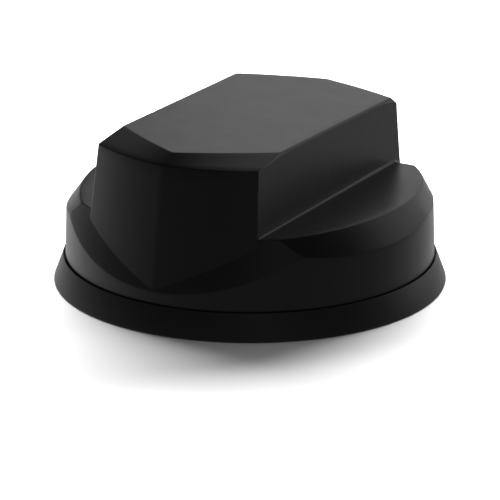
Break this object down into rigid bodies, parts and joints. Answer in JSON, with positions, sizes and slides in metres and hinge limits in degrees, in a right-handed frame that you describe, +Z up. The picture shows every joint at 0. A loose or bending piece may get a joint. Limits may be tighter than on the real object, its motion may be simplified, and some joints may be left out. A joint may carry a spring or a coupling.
{
  "type": "gnss receiver",
  "caption": "Low black smart antenna: a six-cornered hood raised on a round drum with sloped shoulders, on a flared skirt ring, threaded for a pole underneath.",
  "frame": {"origin": "on the ground at the centre of the skirt ring", "axes": "+Z up, -Y towards the front tip of the hood, +Y towards the cable connector, +X to the right seen from the back"},
  "size_m": [0.16, 0.16, 0.068],
  "materials": {
    "black_plastic": "moulded black plastic with a very fine grain, satin",
    "skirt_plastic": "moulded black plastic, smoother satin",
    "cast_aluminium": "die-cast, bead blasted",
    "rubber_black": "matt elastomer",
    "steel_zinc": "zinc plated",
    "brass": "turned",
    "plated_brass": "nickel plated",
    "gold_contact": "gold plated",
    "label_film": "blank printed-film plate",
    "board_green": "solder mask",
    "board_blue": "solder mask",
    "tin_shield": "tin plated sheet",
    "chip_black": "moulded epoxy",
    "can_metal": "drawn can",
    "nylon_white": "natural nylon",
    "wire_red": "wire insulation",
    "coax_black": "cable jacket",
    "ceramic": "fired ceramic",
    "silver_plate": "fired silver"
  },
  "bodies": {
    "receiver": {"radome": "black_plastic", "skirt_ring": "skirt_plastic", "base_plate": "cast_aluminium", "case_seal": "rubber_black", "case_screws": "steel_zinc", "pole_insert": "brass", "vent_plug": "chip_black", "rating_plate": "label_film", "connector_shell": "plated_brass", "connector_washer": "rubber_black", "connector_nut": "plated_brass", "connector_insulator": "chip_black", "connector_pins": "gold_contact", "wiring_harness": "wire_red", "harness_plug": "nylon_white", "harness_header": "nylon_white", "main_board": "board_green", "board_standoffs": "steel_zinc", "board_screws": "steel_zinc", "receiver_module": "board_blue", "receiver_shield": "tin_shield", "processor": "chip_black", "memory_chip": "chip_black", "power_coils": "chip_black", "smoothing_capacitors": "can_metal", "bluetooth_module": "tin_shield", "motion_sensor": "chip_black", "backup_cell": "can_metal", "antenna_posts": "nylon_white", "antenna_screws": "steel_zinc", "antenna_board": "board_green", "lower_patch": "ceramic", "lower_patch_plate": "silver_plate", "upper_patch": "ceramic", "upper_patch_plate": "silver_plate", "feed_pins": "gold_contact", "amplifier_shield": "tin_shield", "coax_jumper": "coax_black", "coax_plugs": "gold_contact"},
    "cap": {"connector_cap": "rubber_black"}
  },
  "joints": [
    {"name": "cap_pull", "type": "slide", "parent": "receiver", "child": "cap", "axis": [0, 1, 0], "range_m": [0, 0.02]}
  ]
}
